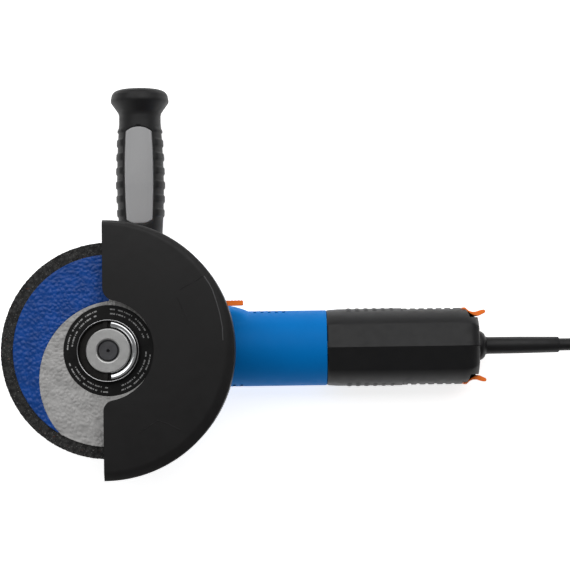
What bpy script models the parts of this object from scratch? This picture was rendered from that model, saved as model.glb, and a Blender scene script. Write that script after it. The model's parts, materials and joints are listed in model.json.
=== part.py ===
"""A corded 150 mm angle grinder, lying on its back with the cutting disc upwards.

The origin is on the gear case's back face, on the spindle axis. +X runs to the tail, +Y to the
side handle and +Z along the spindle to the disc. Lengths are in millimetres, and MM turns them
to metres where a mesh or an object is made.
"""

import math

import bmesh
import bpy

MM = 0.001
GAP = 0.3

# Motor line
AXIS_Z = 28.0
BODY_R = 28.0
MOTOR_R = 27.2
WALL = 2.4
CASE_END = 52.0
MOTOR_END = 151.6
TAIL_END = 261.0
SWITCH_TILT = math.radians(-40)

# Gear head
HEAD_R = 33.0
HEAD_TOP = 58.0
CAVITY_R = 26.0
COVER_TOP = 62.3
COLLAR_R = 21.0
COLLAR_TOP = 77.0
SCREW_RING_R = 29.5
LUG_X, LUG_Y = 33.0, 27.0
LOCK_X = -18.0

# Bevel gears, whose cones meet on the spindle axis at the motor's height
GEAR_TEETH = 30
PINION_TEETH = 10
GEAR_R = 24.0
PINION_R = GEAR_R * PINION_TEETH / GEAR_TEETH
GEAR_BACK_Z = 46.0
TOOTH_INNER = 0.66

# Disc and guard
DISC_R = 75.0
DISC_Z = 86.6
DISC_THICK = 2.5
BORE_R = 11.1
GUARD_R = 89.4
GUARD_X, GUARD_Y = -2.2, 0.3
GUARD_FLOOR_Z = 72.0
GUARD_RIM_Z = 97.5
GUARD_TOP_Z = 102.0
GUARD_EDGE_X = -3.0
GUARD_NOTCH_R = 35.0
SHEET = 1.6

# Side handle
GRIP_X = 18.0
GRIP_END_Y = 190.2

# Lead
LEAD_R = 4.5
SLEEVE_END = 320.0
LEAD_RUN = 76.0
COIL_X = 438.0
COIL_RINGS = 4
COIL_MEAN_R = 53.4


def clear_scene():
    for obj in list(bpy.data.objects):
        bpy.data.objects.remove(obj, do_unlink=True)


def material(name, colour, roughness, metallic=0.0):
    made = bpy.data.materials.new(name)
    made.use_nodes = True
    shader = made.node_tree.nodes["Principled BSDF"]
    shader.inputs["Base Color"].default_value = (*colour, 1.0)
    shader.inputs["Roughness"].default_value = roughness
    shader.inputs["Metallic"].default_value = metallic
    return made


FINISHES = {
    "cast": ((0.05, 0.05, 0.055), 0.55, 0.6),
    "blue": ((0.003, 0.16, 0.5), 0.4, 0.0),
    "black": ((0.018, 0.018, 0.02), 0.5, 0.0),
    "orange": ((0.85, 0.14, 0.03), 0.4, 0.0),
    "steel": ((0.55, 0.55, 0.56), 0.3, 1.0),
    "dark_steel": ((0.1, 0.1, 0.105), 0.4, 1.0),
    "sheet_black": ((0.017, 0.016, 0.017), 0.5, 0.2),
    "rubber": ((0.012, 0.012, 0.013), 0.7, 0.0),
    "grey": ((0.3, 0.3, 0.3), 0.55, 0.0),
    "copper": ((0.7, 0.3, 0.15), 0.35, 1.0),
    "brass": ((0.75, 0.55, 0.25), 0.35, 1.0),
    "graphite": ((0.03, 0.03, 0.03), 0.6, 0.0),
    "abrasive": ((0.03, 0.03, 0.03), 0.9, 0.0),
    "green": ((0.02, 0.12, 0.06), 0.6, 0.0),
}


def node(name, mesh, finish, at=(0, 0, 0), turn=(0, 0, 0), pivot=None):
    """An object from a bmesh in millimetres. A moving piece hangs on its joint's empty."""
    bmesh.ops.recalc_face_normals(mesh, faces=mesh.faces)
    bmesh.ops.scale(mesh, vec=(MM, MM, MM), verts=mesh.verts)
    data = bpy.data.meshes.new(name)
    mesh.to_mesh(data)
    mesh.free()
    data.shade_smooth()
    data.set_sharp_from_angle(angle=math.radians(35))
    obj = bpy.data.objects.new(name, data)
    bpy.context.scene.collection.objects.link(obj)
    obj.rotation_euler = turn
    place = [value * MM for value in at]
    if pivot is not None:
        obj.parent = pivot
        place = [a - b for a, b in zip(place, pivot.location)]
    obj.location = place
    if finish:
        data.materials.append(material(name, *FINISHES[finish]))
    return obj


def pivot(name, at):
    empty = bpy.data.objects.new(name, None)
    empty.location = [value * MM for value in at]
    bpy.context.scene.collection.objects.link(empty)
    return empty


def cutter(mesh, **where):
    obj = node("cutter", mesh, None, **where)
    obj.hide_render = True
    obj.display_type = "WIRE"
    return obj


def combine(target, other, operation="DIFFERENCE", solver="EXACT"):
    modifier = target.modifiers.new(operation.lower(), "BOOLEAN")
    modifier.operation = operation
    modifier.solver = solver
    modifier.object = other


def turned(profile, steps=24, start=0.0, sweep=360.0):
    """The closed outline (radius, height) turned about local Z. A part turn gets end faces."""
    mesh = bmesh.new()
    whole = sweep >= 360.0
    count = steps if whole else steps + 1
    rings = []
    for i in range(count):
        angle = math.radians(start + sweep * i / steps)
        ring = []
        for k, (radius, height) in enumerate(profile):
            if radius == 0 and rings:
                ring.append(rings[0][k])
                continue
            point = (radius * math.cos(angle), radius * math.sin(angle), height)
            ring.append(mesh.verts.new(point))
        rings.append(ring)
    size = len(profile)
    for i in range(steps):
        one, two = rings[i], rings[(i + 1) % count]
        for k in range(size):
            after = (k + 1) % size
            corners = dict.fromkeys((one[k], one[after], two[after], two[k]))
            if len(corners) > 2:
                mesh.faces.new(list(corners))
    if not whole:
        mesh.faces.new(rings[0])
        mesh.faces.new(rings[-1])
    return mesh


def rod(radius, low, high, steps=20):
    return turned([(0, low), (radius, low), (radius, high), (0, high)], steps)


def tube(inner, outer, low, high, steps=24):
    return turned([(inner, low), (outer, low), (outer, high), (inner, high)], steps)


def block(low, high, bevel=0.0):
    mesh = bmesh.new()
    bmesh.ops.create_cube(mesh, size=1.0)
    for vert in mesh.verts:
        for k in range(3):
            vert.co[k] = low[k] if vert.co[k] < 0 else high[k]
    if bevel:
        bmesh.ops.bevel(mesh, geom=mesh.edges[:], offset=bevel, segments=1, affect="EDGES")
    return mesh


def prism(outline, low, high):
    """The outline (x, y), from height low to high."""
    mesh = bmesh.new()
    face = mesh.faces.new([mesh.verts.new((x, y, low)) for x, y in outline])
    grown = bmesh.ops.extrude_face_region(mesh, geom=[face])
    risen = [item for item in grown["geom"] if isinstance(item, bmesh.types.BMVert)]
    bmesh.ops.translate(mesh, vec=(0, 0, high - low), verts=risen)
    return mesh


def arc(centre, radius, start, end, steps):
    turns = [math.radians(start + (end - start) * i / steps) for i in range(steps + 1)]
    return [(centre[0] + radius * math.cos(a), centre[1] + radius * math.sin(a)) for a in turns]


ALONG_X = (0, math.pi / 2, 0)
ALONG_Y = (-math.pi / 2, 0, 0)
ON_MOTOR = {"at": (0, 0, AXIS_Z), "turn": ALONG_X}


def make_gear_case():
    """The head, its neck, the two handle bosses and the lever's lug, then what is bored out."""
    head = [(0, 0), (30, 0), (HEAD_R, 3), (HEAD_R, HEAD_TOP), (0, HEAD_TOP)]
    case = node("gear_case", turned(head, 48), "cast")
    on_boss = {"at": (GRIP_X, 0, AXIS_Z), "turn": ALONG_Y}
    added = [
        cutter(rod(BODY_R - 0.15, 2, CASE_END, 40), **ON_MOTOR),
        cutter(rod(13, -38, 38, 28), **on_boss),
        cutter(block((24, 12, 43), (LUG_X + 6, LUG_Y + 5, 57.7), 0.8)),
    ]
    bored = [
        cutter(rod(CAVITY_R, 6.4, HEAD_TOP + 5, 40)),
        cutter(rod(11, 5, CASE_END + 5, 24), **ON_MOTOR),
        cutter(rod(13.4, 43.5, CASE_END + 5, 24), **ON_MOTOR),
        cutter(rod(5.2, 24, 40, 16), **on_boss),
        cutter(rod(5.2, -40, -24, 16), **on_boss),
        cutter(rod(7.4, 2.5, 8, 20)),
        cutter(rod(6.3, -2, 8, 20), at=(LOCK_X, 0, 0)),
        cutter(rod(2.2, 46, 60, 12), at=(LUG_X, LUG_Y, 0)),
    ]
    bored += [cutter(rod(1.8, 46, 60, 10), at=(x, y, 0)) for x, y in screw_places()]
    for shape in added:
        combine(case, shape, "UNION", "MANIFOLD")
    for shape in bored:
        combine(case, shape, "DIFFERENCE", "MANIFOLD")


def screw_places():
    return [(x, y) for x, y in arc((0, 0), SCREW_RING_R, 45, 315, 3)]


def make_bearing_cover():
    outline = [(16.3, HEAD_TOP + GAP), (HEAD_R, HEAD_TOP + GAP), (HEAD_R, COVER_TOP)]
    outline += [(COLLAR_R, COVER_TOP), (COLLAR_R, COLLAR_TOP)]
    outline += [(9.5, COLLAR_TOP), (9.5, 71.5), (16.3, 71.5)]
    cover = node("bearing_cover", turned(outline, 32), "cast")
    for number, (x, y) in enumerate(screw_places(), 1):
        combine(cover, cutter(rod(1.8, HEAD_TOP - 2, COVER_TOP + 3, 10), at=(x, y, 0)))
        shape = [(0, 48), (1.5, 48), (1.5, COVER_TOP + GAP), (3.0, COVER_TOP + GAP)]
        shape += [(3.0, 65.0), (1.7, 65.6), (1.7, 64.0), (0, 64.0)]
        node(f"cover_screw_{number}", turned(shape, 12), "dark_steel", at=(x, y, 0))


def make_motor_housing():
    outline = [(MOTOR_R - WALL, CASE_END + GAP), (BODY_R - 0.2, CASE_END + GAP), (BODY_R - 0.2, 60)]
    outline += [(MOTOR_R, 64), (MOTOR_R, MOTOR_END), (MOTOR_R - WALL, MOTOR_END)]
    housing = node("motor_housing", turned(outline, 48), "blue", **ON_MOTOR)
    hump = prism([(58, 20), (58, 31), (80, 31.4), (94, 26.4), (94, 20)], 33, 49)
    combine(housing, cutter(hump), "UNION")
    combine(housing, cutter(rod(MOTOR_R - WALL, 50, 155, 48), **ON_MOTOR))
    flank = {"at": (0, 0, AXIS_Z), "turn": (SWITCH_TILT, 0, 0)}
    combine(housing, cutter(block((116, 20, -3.5), (148, 26.1, 3.5)), **flank))
    combine(housing, cutter(block((114, 26.0, -6.5), (150, 32, 6.5)), **flank))


def make_handle_shells():
    front = MOTOR_END + GAP
    outer = [(MOTOR_R - WALL, front), (MOTOR_R, front), (BODY_R, 158), (BODY_R, 251), (26.5, 257)]
    outer += [(22.5, TAIL_END), (9.5, TAIL_END), (9.5, 258), (19, 258), (MOTOR_R - WALL, 250)]
    for name, side, start in (("handle_shell_left", 1, 0.4), ("handle_shell_right", -1, 180.4)):
        shell = node(name, turned(outer, 24, start, 179.2), "black", **ON_MOTOR)
        low, high = sorted((side * 15, side * 35))
        combine(shell, cutter(block((206, low, AXIS_Z - 11), (250, high, AXIS_Z + 11))))
        low, high = sorted((side * 20.5, side * 35))
        combine(shell, cutter(block((249.8, low, AXIS_Z - 8.6), (263, high, AXIS_Z + 8.6))))
        corner = [(252.2, 27), (254.4, 20.5), (270, 20.5), (270, 40), (252.2, 40)]
        combine(shell, cutter(prism([(x, side * y) for x, y in corner], AXIS_Z - 8.6, 60)))


def make_screens():
    ring = [(25.4, 206.4), (27.7, 206.4), (27.7, 249.4), (25.4, 249.4)]
    tab = [(250.3, 27.9), (252.0, 27.6), (254.6, 25.3), (256.9, 24.5), (259, 24.5), (261, 24.9), (264, 25.9)]
    tab += [(265.6, 26.0), (266.5, 25.2), (266.5, 24.1), (265.6, 23.3), (262.3, 21.7), (260.8, 21.3)]
    tab += [(258, 22.0), (256.1, 23.0), (254.0, 24.4), (252.4, 25.3), (250.3, 25.6)]
    for name, side in (("left", 1), ("right", -1)):
        screen = node(
            f"dust_screen_{name}", turned(ring, 6, side * 90 - 22, 44), "black", **ON_MOTOR
        )
        for i in range(6):
            x = 210 + 6.3 * i
            low, high = sorted((side * 20, side * 30))
            combine(screen, cutter(block((x, low, AXIS_Z - 7), (x + 2.6, high, AXIS_Z + 7))))
        hinge = pivot(f"screen_tab_{name}_joint", (251, side * 26.5, AXIS_Z))
        outline = [(x - 251, side * y - side * 26.5) for x, y in tab]
        at = (251, side * 26.5, AXIS_Z)
        node(f"screen_tab_{name}", prism(outline, -8, 8), "orange", at=at, pivot=hinge)


def make_motor():
    joint = pivot("rotor_joint", (0, 0, AXIS_Z))
    spin = {"pivot": joint, **ON_MOTOR}
    shaft = [(0, 29), (4.8, 29), (4.8, 164), (0, 164)]
    node("rotor_shaft", turned(shaft, 20), "steel", **spin)
    node("rotor_core", tube(5.1, 14.0, 72, 122, 24), "dark_steel", **spin)
    node("commutator", tube(5.1, 10.5, 130, 148, 24), "copper", **spin)
    hub = [(5.1, 56), (22, 56), (22, 57.5), (9, 57.5), (9, 67), (5.1, 67)]
    fan = node("fan", turned(hub, 32), "black", **spin)
    for i in range(8):
        blade = block((-10.6, -0.7, 7.5), (-1, 0.7, 21.3))
        turn = (math.radians(45 * i + 5.6), 0, 0)
        combine(fan, cutter(blade, at=(67.5, 0, AXIS_Z), turn=turn), "UNION")
    stator = node("stator", tube(14.8, MOTOR_R - WALL - GAP, 74, 120, 40), "dark_steel", **ON_MOTOR)
    for side in (-1, 1):
        winding = block((68.5, -9, 17.2), (125.5, 9, 22.2), 0.8)
        turn = ((side + 1) * math.pi / 2, 0, 0)
        combine(stator, cutter(winding, at=(0, 0, AXIS_Z), turn=turn), "UNION")
    baffle = [(16, 55), (24.4, 55), (24.4, 68), (23.2, 68), (23.2, 55.9), (16, 55.9)]
    node("air_baffle", turned([(r, x - 2) for r, x in baffle], 24), "black", **ON_MOTOR)
    node("rotor_bearing_front", tube(5.1, 13.1, 44, 51.5), "steel", **ON_MOTOR)
    node("rotor_bearing_rear", tube(5.1, 10.7, 153.5, 160.5), "steel", **ON_MOTOR)
    bracket = [(11, 152.2), (24.4, 152.2), (24.4, 154.4), (13.5, 154.4), (13.5, 163), (11, 163)]
    node("end_bracket", turned(bracket, 24), "black", **ON_MOTOR)
    for name, side in (("upper", 1), ("lower", -1)):
        facing = {"at": (139, 0, AXIS_Z), "turn": (0 if side > 0 else math.pi, 0, 0)}
        body = block((-6.5, -5.5, 12), (6.5, 5.5, 24))
        holder = node(f"brush_holder_{name}", body, "brass", **facing)
        combine(holder, cutter(block((-4.4, -3.4, 10), (4.4, 3.4, 26)), **facing))
        slide = pivot(f"brush_{name}_joint", (139, 0, AXIS_Z))
        node(f"brush_{name}", block((-4, -3, 11), (4, 3, 21)), "graphite", pivot=slide, **facing)


def toothed_pinion(joint):
    """Ten teeth along X, scaled towards the point where the gears' cones meet."""
    mesh = bmesh.new()
    rings = []
    for scale in (TOOTH_INNER, 1.0, 1.0):
        x = GEAR_R * scale + (4.5 if len(rings) == 2 else 0)
        ring = []
        for i in range(PINION_TEETH * 4):
            tip = i % 4 in (0, 3)
            radius = (PINION_R + (1.1 if tip else -1.7)) * scale
            if len(rings) == 2:
                radius = PINION_R - 1.7
            half = 0.5 if tip else 1.25
            along = half if i % 4 in (0, 1) else -half
            angle = 2 * math.pi * ((i + 2) // 4) / PINION_TEETH + along / PINION_R
            ring.append(mesh.verts.new((radius * math.cos(angle), radius * math.sin(angle), x)))
        rings.append(ring)
    count = PINION_TEETH * 4
    for one, two in zip(rings, rings[1:]):
        for i in range(count):
            mesh.faces.new((one[i], one[(i + 1) % count], two[(i + 1) % count], two[i]))
    mesh.faces.new(rings[0])
    mesh.faces.new(rings[-1])
    node("pinion", mesh, "steel", pivot=joint, **ON_MOTOR)


def toothed_gear(joint):
    """A crown of thirty teeth that face down, scaled towards the same point, on a flat back."""
    mesh = bmesh.new()
    count = GEAR_TEETH * 4
    shape = [("bore", 6.3), ("inner", TOOTH_INNER), ("outer", 1.0), ("back", GEAR_R)]
    shape += [("bore_back", 6.3)]
    rings = []
    for kind, value in shape:
        ring = []
        for i in range(count):
            tip = i % 4 in (0, 3)
            half = 0.5 if tip else 1.25
            along = half if i % 4 in (0, 1) else -half
            angle = 2 * math.pi * ((i + 2) // 4 + 0.5) / GEAR_TEETH + along / GEAR_R
            if kind in ("inner", "outer"):
                radius = GEAR_R * value
                height = AXIS_Z + (PINION_R + (-1.1 if tip else 1.7)) * value
            else:
                radius = value
                height = GEAR_BACK_Z if "back" in kind else AXIS_Z + PINION_R * TOOTH_INNER + 2.5
            ring.append(mesh.verts.new((radius * math.cos(angle), radius * math.sin(angle), height)))
        rings.append(ring)
    for k, one in enumerate(rings):
        two = rings[(k + 1) % len(rings)]
        for i in range(count):
            mesh.faces.new((one[i], one[(i + 1) % count], two[(i + 1) % count], two[i]))
    node("bevel_gear", mesh, "dark_steel", pivot=joint)


def make_spindle():
    joint = pivot("spindle_joint", (0, 0, 0))
    shaft = [(0, 4), (4.2, 4), (4.2, 12), (6.0, 12), (6.0, 72), (8.0, 72), (8.0, 79.6), (7.0, 79.6)]
    shaft += [(7.0, 95.5), (6.2, 96.3), (1.2, 96.3), (0, 94.8)]
    node("spindle", turned(shaft, 24), "dark_steel", pivot=joint)
    toothed_gear(joint)
    node("spindle_bearing_inner", tube(4.5, 7.1, 3.2, 11.5, 20), "steel")
    node("spindle_bearing_outer", tube(6.3, 16.0, 60.5, 71.2), "steel")
    flange = [(7.3, 79.9), (20, 79.9), (20, DISC_Z - GAP), (BORE_R - 0.3, DISC_Z - GAP)]
    flange += [(BORE_R - 0.3, DISC_Z + 1.6), (7.3, DISC_Z + 1.6)]
    node("backing_flange", turned(flange, 24), "steel", pivot=joint)
    disc = tube(BORE_R, DISC_R, DISC_Z, DISC_Z + DISC_THICK, 72)
    node("cutting_disc", disc, "abrasive", pivot=joint)
    low = DISC_Z + DISC_THICK + GAP
    body = [(15.9, low), (20.5, low), (21.6, low + 1.2), (21.6, 96.8), (21.0, 97.4), (20.2, 97.4)]
    body += [(20.2, 92.8), (15.9, 92.8)]
    node("nut_body", turned(body, 28), "dark_steel", pivot=joint)
    core = [(7.3, low), (15.6, low), (15.6, 96.2), (15.0, 96.8), (8.6, 96.8), (7.3, 95.8)]
    node("nut_core", turned(core, 28), "grey", pivot=joint)
    fold = pivot("bail_joint", (0, 0, 95.2))
    fold.parent = joint
    loop = turned([(16.4, -1.6), (19.8, -1.6), (19.8, 1.6), (16.4, 1.6)], 16, -86, 172)
    node("nut_bail", loop, "steel", at=(0, 0, 95.2), pivot=fold)


def half_sheet(radius, hole, low, high):
    """Half a round sheet behind the guard's straight edge, with a round notch about the spindle."""
    edge = math.degrees(math.acos((GUARD_EDGE_X - GUARD_X) / radius))
    inner = math.degrees(math.acos(GUARD_EDGE_X / hole))
    outline = arc((GUARD_X, GUARD_Y), radius, -edge, edge, 32) + arc((0, 0), hole, inner, -inner, 16)
    return prism(outline, low, high)


def notch_outline():
    """What the cover leaves open: all left of its edge, and a round notch with rounded corners."""
    edge, lift, radius = GUARD_EDGE_X, GUARD_Y, GUARD_NOTCH_R
    outline = [(-100, -100), (edge, -100)]
    corners = []
    for side, corner_r in ((-1, 7.5), (1, 9.0)):
        rise = math.sqrt((radius + corner_r) ** 2 - corner_r**2)
        meet = math.degrees(math.atan2(rise, corner_r))
        centre = (edge + corner_r, lift + side * rise)
        corners.append((centre, corner_r, meet))
    (low, low_r, low_meet), (high, high_r, high_meet) = corners
    outline += arc(low, low_r, 180, 180 - low_meet, 6)
    outline += arc((edge, lift), radius, -low_meet, high_meet, 20)[1:-1]
    outline += arc(high, high_r, 180 + high_meet, 180, 6)
    return outline + [(edge, 100), (-100, 100)]


def make_guard():
    joint = pivot("guard_joint", (0, 0, 0))
    round_it = {"at": (GUARD_X, GUARD_Y, 0), "pivot": joint}
    edge = math.degrees(math.acos((GUARD_EDGE_X - GUARD_X) / GUARD_R))
    band = turned(
        [
            (GUARD_R - SHEET, GUARD_FLOOR_Z),
            (GUARD_R, GUARD_FLOOR_Z + 0.4),
            (GUARD_R, GUARD_RIM_Z),
            (GUARD_R - SHEET, GUARD_RIM_Z),
        ],
        40,
        -edge,
        2 * edge,
    )
    floor = half_sheet(GUARD_R - 0.7, 28, GUARD_FLOOR_Z, GUARD_FLOOR_Z + SHEET)
    shell = node("guard_shell", floor, "sheet_black", pivot=joint)
    combine(shell, cutter(band, **round_it), "UNION")
    combine(shell, cutter(tube(24.6, 29, GUARD_FLOOR_Z, GUARD_FLOOR_Z + SHEET, 40)), "UNION")
    foot = GUARD_RIM_Z + GAP
    cover = [(30, GUARD_TOP_Z - SHEET), (82, GUARD_TOP_Z - SHEET), (GUARD_R - 1, foot)]
    cover += [(GUARD_R, foot), (GUARD_R, 98.6), (82.6, GUARD_TOP_Z), (30, GUARD_TOP_Z)]
    plate = node("guard_cover", turned(cover, 40, -95, 190), "sheet_black", **round_it)
    combine(plate, cutter(prism(notch_outline(), 90, 110)))
    collar = [(COLLAR_R + GAP, 66.2), (24.2, 66.2), (24.2, GUARD_FLOOR_Z + SHEET)]
    collar += [(COLLAR_R + GAP, GUARD_FLOOR_Z + SHEET)]
    node("guard_collar", turned(collar, 28), "steel", pivot=joint)


def make_guard_lever():
    joint = pivot("guard_lever_joint", (LUG_X, LUG_Y, 0))
    at = (LUG_X, LUG_Y, 0)
    lever = node("guard_lever", tube(2.3, 5.5, 58.1, 70, 24), "orange", at=at, pivot=joint)
    arm = prism([(3, 1), (3, 4.5), (20, 6.4), (59.5, 7.2), (59.5, 3.6), (20, 2.8), (6, -1)], 58.1, 67)
    combine(lever, cutter(arm, at=at, pivot=joint), "UNION")
    pawl = cutter(
        block((3.5, -2, 66.4), (17.4, 2, 70)),
        at=at,
        turn=(0, 0, math.atan2(-LUG_Y, -LUG_X)),
        pivot=joint,
    )
    combine(lever, pawl, "UNION")
    pin = [(0, 47), (1.9, 47), (1.9, 70.3), (3.2, 70.3), (3.2, 71.3), (0, 71.3)]
    node("lever_pin", turned(pin, 14), "steel", at=at)


def make_lock():
    joint = pivot("lock_joint", (LOCK_X, 0, 0))
    at = (LOCK_X, 0, 0)
    button = [(0, 0.4), (5.3, 0.4), (6.0, 1.2), (6.0, 8.2), (0, 8.2)]
    node("lock_button", turned(button, 20), "black", at=at, pivot=joint)
    node("lock_pin", rod(2.4, 8.5, 28.5, 12), "steel", at=at, pivot=joint)


def make_switch():
    joint = pivot("switch_joint", (132, 0, AXIS_Z))
    flank = {"at": (132, 0, AXIS_Z), "turn": (SWITCH_TILT, 0, 0), "pivot": joint}
    made = node("switch_slider", block((-11, 26.4, -6), (11, 29.0, 6), 0.5), "black", **flank)
    for i in range(5):
        ridge = block((-7 + 3 * i, 28.6, -5), (-5.6 + 3 * i, 29.6, 5))
        combine(made, cutter(ridge, **flank), "UNION")
    combine(made, cutter(block((-4, 24.8, -3), (4, 26.6, 3)), **flank), "UNION")
    node("switch_unit", block((176, -14, AXIS_Z + 5), (204, 8, AXIS_Z + 17), 0.6), "black")
    node("control_module", block((172, -15, AXIS_Z - 16), (204, 15, AXIS_Z - 2), 0.6), "green")


def make_tail():
    face = TAIL_END + GAP
    sleeve = [(0, 246), (9.2, 246), (9.2, face), (10.6, face), (10.6, 263.0), (9.6, 265.2), (8.0, 266.4)]
    sleeve += [(6.2, 266.8), (6.1, 290), (5.7, SLEEVE_END), (0, SLEEVE_END)]
    node("bend_sleeve", turned(sleeve, 24), "rubber", **ON_MOTOR)
    clamp = block((236, -10, AXIS_Z - 8), (244, 10, AXIS_Z + 8), 1.0)
    node("cable_clamp", clamp, "black")


def make_side_handle():
    along = {"at": (GRIP_X, 0, AXIS_Z), "turn": ALONG_Y}
    grip = [(0, 60), (15.5, 60), (17.5, 62), (17.5, 65), (15.4, 69), (15.8, 86)]
    grip += [(16.8, 102), (17.2, 120), (16.8, 138), (16.0, 154), (15.3, 166), (15.3, 171)]
    grip += [(21.1, 180.6), (20.6, 185), (19.2, 188), (12, 189.8), (0, GRIP_END_Y)]
    made = node("side_grip", turned(grip, 24), "black", **along)
    pocket = block((GRIP_X - 11, 90, AXIS_Z + 12.5), (GRIP_X + 11, 162, AXIS_Z + 30))
    combine(made, cutter(pocket))
    combine(made, cutter(rod(5.3, 50, 84, 16), **along))
    inlay = [(0, 90.4), (16.9, 90.4), (17.6, 106), (18.0, 122), (17.6, 142), (16.8, 161.6), (0, 161.6)]
    panel = node("grip_inlay", turned(inlay, 24), "grey", **along)
    keep = block((GRIP_X - 10.6, 80, AXIS_Z + 12.9), (GRIP_X + 10.6, 167, AXIS_Z + 30))
    combine(panel, cutter(keep), "INTERSECT")
    stud = [(0, 27), (5, 27), (5, 38.4), (9, 38.4), (9, 44), (5, 45), (5, 82), (0, 82)]
    node("handle_stud", turned(stud, 16), "steel", **along)


def smooth_route(points, spacing):
    """Points at an even spacing along a smooth curve through the given ones."""
    fine = []
    for i in range(len(points) - 1):
        before = points[max(i - 1, 0)]
        after = points[min(i + 2, len(points) - 1)]
        one, two = points[i], points[i + 1]
        for step in range(20):
            t = step / 20
            fine.append(
                [
                    0.5
                    * (
                        2 * b
                        + (c - a) * t
                        + (2 * a - 5 * b + 4 * c - d) * t * t
                        + (3 * b - a - 3 * c + d) * t**3
                    )
                    for a, b, c, d in zip(before, one, two, after)
                ]
            )
    fine.append(list(points[-1]))
    total = sum(math.dist(a, b) for a, b in zip(fine, fine[1:]))
    count = max(2, round(total / spacing))
    route = [fine[0]]
    gone = 0.0
    for a, b in zip(fine, fine[1:]):
        gone += math.dist(a, b)
        if gone >= total * len(route) / count - 1e-9:
            route.append(b)
    if math.dist(route[-1], fine[-1]) > 1e-6:
        route[-1] = fine[-1]
    return route


def lead(name, points, spacing):
    curve = bpy.data.curves.new(name, "CURVE")
    curve.dimensions = "3D"
    curve.bevel_depth = LEAD_R * MM
    curve.bevel_resolution = 2
    curve.use_fill_caps = True
    route = smooth_route(points, spacing)
    spline = curve.splines.new("POLY")
    spline.points.add(len(route) - 1)
    for point, place in zip(spline.points, route):
        point.co = (*[value * MM for value in place], 1.0)
    obj = bpy.data.objects.new(name, curve)
    bpy.context.scene.collection.objects.link(obj)
    curve.materials.append(material(name, *FINISHES["rubber"]))


def make_lead():
    route = [(SLEEVE_END + GAP, 0, AXIS_Z), (SLEEVE_END + 2, 0, AXIS_Z)]
    for step in range(1, 9):
        t = step / 8
        fall = (AXIS_Z - LEAD_R) * t * t * (3 - 2 * t)
        route.append((SLEEVE_END + 4 + LEAD_RUN * t, 0, AXIS_Z - fall))
    lead("power_cable", route, 9.0)
    thick = 2 * LEAD_R
    outer = COIL_MEAN_R + COIL_RINGS / 2 * thick
    inner = COIL_MEAN_R - COIL_RINGS / 2 * thick
    centre_y = outer - LEAD_R
    top = 2 * thick
    outline = [(inner, 2), (inner + 2, 0), (outer - 2, 0), (outer, 2), (outer, top - 2)]
    outline += [(outer - 2, top), (inner + 2, top), (inner, top - 2)]
    node("cable_coil", turned(outline, 32), "rubber", at=(COIL_X, centre_y, 0))
    tail_x = COIL_X + outer - LEAD_R
    heights = [(103.5, 13.5), (110, 14.4), (116, 16.2), (122, 17.4), (128, 17.6)]
    tail = [(tail_x, y, z) for y, z in heights]
    lead("cable_tail", tail, 6.0)
    plug = {"at": (tail_x, 0, 17.6), "turn": ALONG_Y}
    body = [(0, 128.3), (6.0, 128.3), (7.4, 138), (11.5, 142), (12.5, 158), (17.5, 160)]
    body += [(17.5, 164.5), (0, 164.5)]
    node("plug_body", turned(body, 24), "black", **plug)
    for number, side in enumerate((-1, 1), 1):
        pin = [(0, 164.8), (2.4, 164.8), (2.4, 182), (1.4, 183.3), (0, 183.3)]
        at = (tail_x + side * 9.5, 0, 17.6)
        node(f"plug_pin_{number}", turned(pin, 12), "steel", at=at, turn=ALONG_Y)


def main():
    clear_scene()
    make_gear_case()
    make_bearing_cover()
    make_motor_housing()
    make_handle_shells()
    make_screens()
    make_motor()
    toothed_pinion(bpy.data.objects["rotor_joint"])
    make_spindle()
    make_guard()
    make_guard_lever()
    make_lock()
    make_switch()
    make_tail()
    make_side_handle()
    make_lead()


main()
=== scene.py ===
"""The finished look of a corded angle grinder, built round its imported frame.

The shapes repeat the frame's own dimensions, in millimetres, with the fine surface added.
"""

import json
import math
import random

import bmesh
import bpy
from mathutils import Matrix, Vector, noise


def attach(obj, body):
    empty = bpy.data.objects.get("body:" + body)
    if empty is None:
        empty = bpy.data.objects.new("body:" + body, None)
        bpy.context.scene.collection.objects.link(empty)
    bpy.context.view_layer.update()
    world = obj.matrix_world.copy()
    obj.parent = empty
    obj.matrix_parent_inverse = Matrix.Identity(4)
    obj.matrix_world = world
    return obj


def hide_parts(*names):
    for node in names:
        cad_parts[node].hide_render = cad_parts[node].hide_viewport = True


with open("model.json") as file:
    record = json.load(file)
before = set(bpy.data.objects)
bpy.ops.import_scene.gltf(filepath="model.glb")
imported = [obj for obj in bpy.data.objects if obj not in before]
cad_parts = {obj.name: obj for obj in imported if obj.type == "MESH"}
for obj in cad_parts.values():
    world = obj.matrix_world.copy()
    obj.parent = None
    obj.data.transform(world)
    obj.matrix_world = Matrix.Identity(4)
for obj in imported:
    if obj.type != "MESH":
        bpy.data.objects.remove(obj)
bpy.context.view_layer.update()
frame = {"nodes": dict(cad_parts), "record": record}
random.seed(7)

MM = 0.001
GAP = 0.3
AXIS_Z = 28.0
BODY_R = 28.0
MOTOR_R = 27.2
WALL = 2.4
CASE_END = 52.0
MOTOR_END = 151.6
TAIL_END = 261.0
SWITCH_TILT = math.radians(-40)
FACET = 18.0
HEAD_R = 33.0
HEAD_TOP = 58.0
COVER_TOP = 62.3
COLLAR_R = 21.0
COLLAR_TOP = 77.0
LUG_X, LUG_Y = 33.0, 27.0
LOCK_AT = (-18, 0, 0)
DISC_R = 75.0
DISC_Z = 86.6
DISC_TOP = 89.1
LABEL_R = 66.3
BORE_R = 11.1
GREY_X, GREY_Y, GREY_R = 6.3, -20.0, 54.6
CENTRE_LABEL_R = 31.4
CENTRE_LABEL_TOP = DISC_TOP + 0.5
FOIL_LIFT, FOIL_RELIEF = 0.25, 0.95
FOIL_CELL, GRIT_CELL = 3.3, 3.2
GRIT_FROM_R = 60
NUT_FOOT = DISC_TOP + 0.6
BAIL_Z = 95.2
GUARD_R = 89.4
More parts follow.
